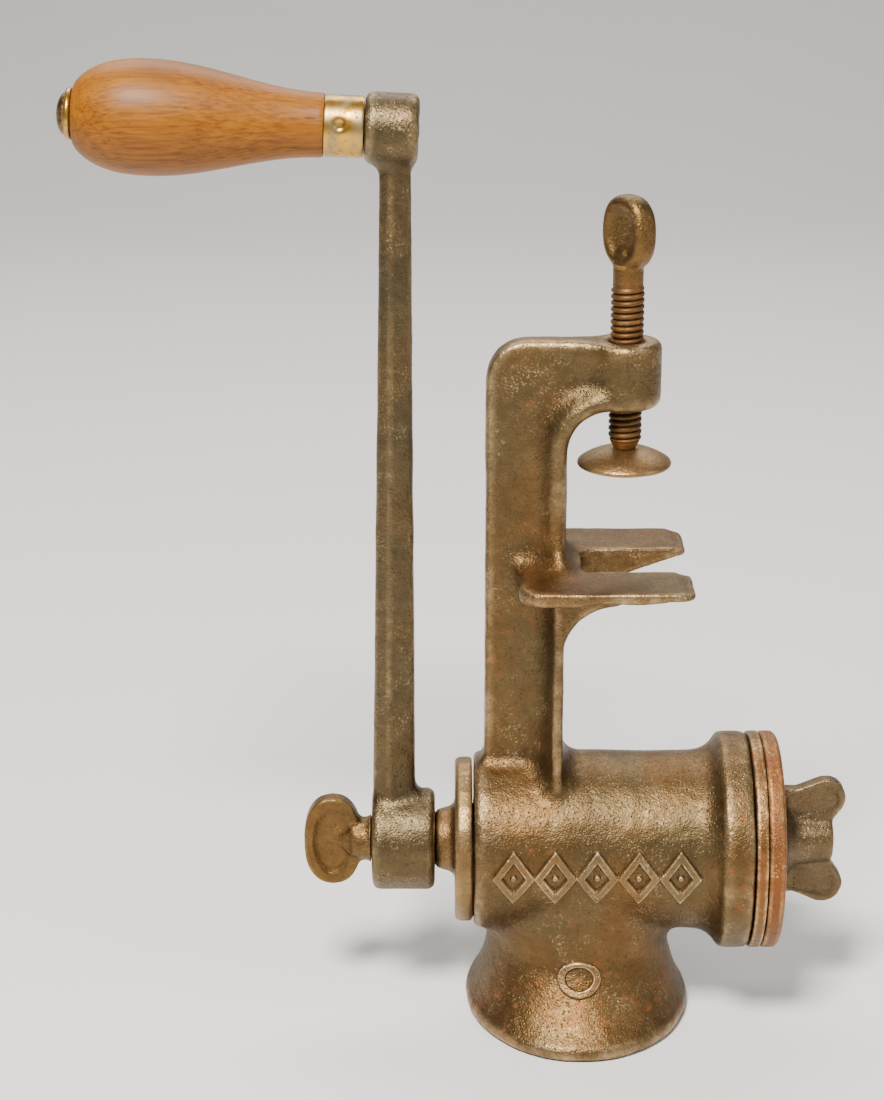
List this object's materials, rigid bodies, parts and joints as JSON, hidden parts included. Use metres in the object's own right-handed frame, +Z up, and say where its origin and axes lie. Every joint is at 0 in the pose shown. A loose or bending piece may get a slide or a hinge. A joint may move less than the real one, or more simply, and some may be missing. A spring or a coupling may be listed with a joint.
{
  "type": "hand crank meat grinder",
  "caption": "Cast iron hand crank meat grinder standing on its hopper mouth, with feed screw, cutting plates, wing nut, crank with wooden grip and table clamp.",
  "frame": {"origin": "centre of the bounding box in X and Y, on the flat mouth of the hopper that the grinder stands on upside down", "axes": "+X along the barrel from the crank to the wing nut, +Z up towards the crank's grip, Y across"},
  "size_m": [0.227, 0.085, 0.2865],
  "materials": {
    "cast_iron_body": "worn tinned sand casting, brown tan with rust specks",
    "cast_iron_feed_screw": "worn tinned casting, brassy where handled",
    "steel_stud": "dull, lightly rusted",
    "rusty_plate": "rusty with a bright worn edge",
    "rusty_cutter": "orange brown rust over steel",
    "cast_iron_nut": "worn tinned casting",
    "cast_iron_crank": "worn tinned casting with darker boss",
    "cast_iron_wing_screw": "worn casting, brassy edges",
    "steel_spindle": "dull steel",
    "varnished_wood": "old amber varnish with dark nicks",
    "tinned_ferrule": "tinned sheet, yellowed and dented",
    "steel_clamp_screw": "dark iron with rust in the thread",
    "cast_iron_pad": "dark casting with worn rim"
  },
  "bodies": {
    "frame": {"body_casting": "cast_iron_body", "fixed_plate": "rusty_plate", "plate_key_pin": "steel_stud"},
    "feed_screw": {"feed_screw": "cast_iron_feed_screw", "front_stud": "steel_stud"},
    "crank": {"crank_arm": "cast_iron_crank", "grip_spindle": "steel_spindle", "grip_end_washer": "steel_spindle"},
    "crank_screw": {"crank_wing_screw": "cast_iron_wing_screw"},
    "grip": {"wooden_grip": "varnished_wood", "grip_ferrule": "tinned_ferrule"},
    "cutter": {"rotary_cutter": "rusty_cutter"},
    "wing_nut": {"wing_nut": "cast_iron_nut"},
    "clamp_pad": {"clamp_pad": "cast_iron_pad"},
    "clamp_screw": {"clamp_screw": "steel_clamp_screw"}
  },
  "joints": [
    {"name": "crank_turn", "type": "hinge", "parent": "frame", "child": "feed_screw", "pos_m": [0.0022, 0, 0.0529], "axis": [1, 0, 0], "continuous": true},
    {"name": "crank_slide", "type": "slide", "parent": "feed_screw", "child": "crank", "axis": [-1, 0, 0], "range_m": [0, 0.01]},
    {"name": "crank_screw_turn", "type": "hinge", "parent": "crank", "child": "crank_screw", "pos_m": [-0.03, 0, 0.0529], "axis": [-1, 0, 0], "range_deg": [0, 2836]},
    {"name": "grip_spin", "type": "hinge", "parent": "crank", "child": "grip", "pos_m": [-0.0208, 0, 0.2674], "axis": [-0.999, 0, 0.0454], "continuous": true},
    {"name": "cutter_slide", "type": "slide", "parent": "feed_screw", "child": "cutter", "axis": [1, 0, 0], "range_m": [0, 0.008]},
    {"name": "wing_nut_turn", "type": "hinge", "parent": "cutter", "child": "wing_nut", "pos_m": [0.1, 0, 0.0529], "axis": [1, 0, 0], "range_deg": [0, 2044]},
    {"name": "clamp_travel", "type": "slide", "parent": "frame", "child": "clamp_pad", "axis": [0, 0, 1], "range_m": [-0.015, 0.011]},
    {"name": "clamp_turn", "type": "hinge", "parent": "clamp_pad", "child": "clamp_screw", "pos_m": [0.04525, 0, 0.2], "axis": [0, 0, 1], "range_deg": [-2952, 2166]}
  ],
  "couplings": [
    {"joint": "crank_screw_turn", "follows": "crank_slide", "rad_per_m": 4947.4},
    {"joint": "wing_nut_turn", "follows": "cutter_slide", "rad_per_m": 4456.2},
    {"joint": "clamp_turn", "follows": "clamp_travel", "rad_per_m": 3433.4}
  ]
}
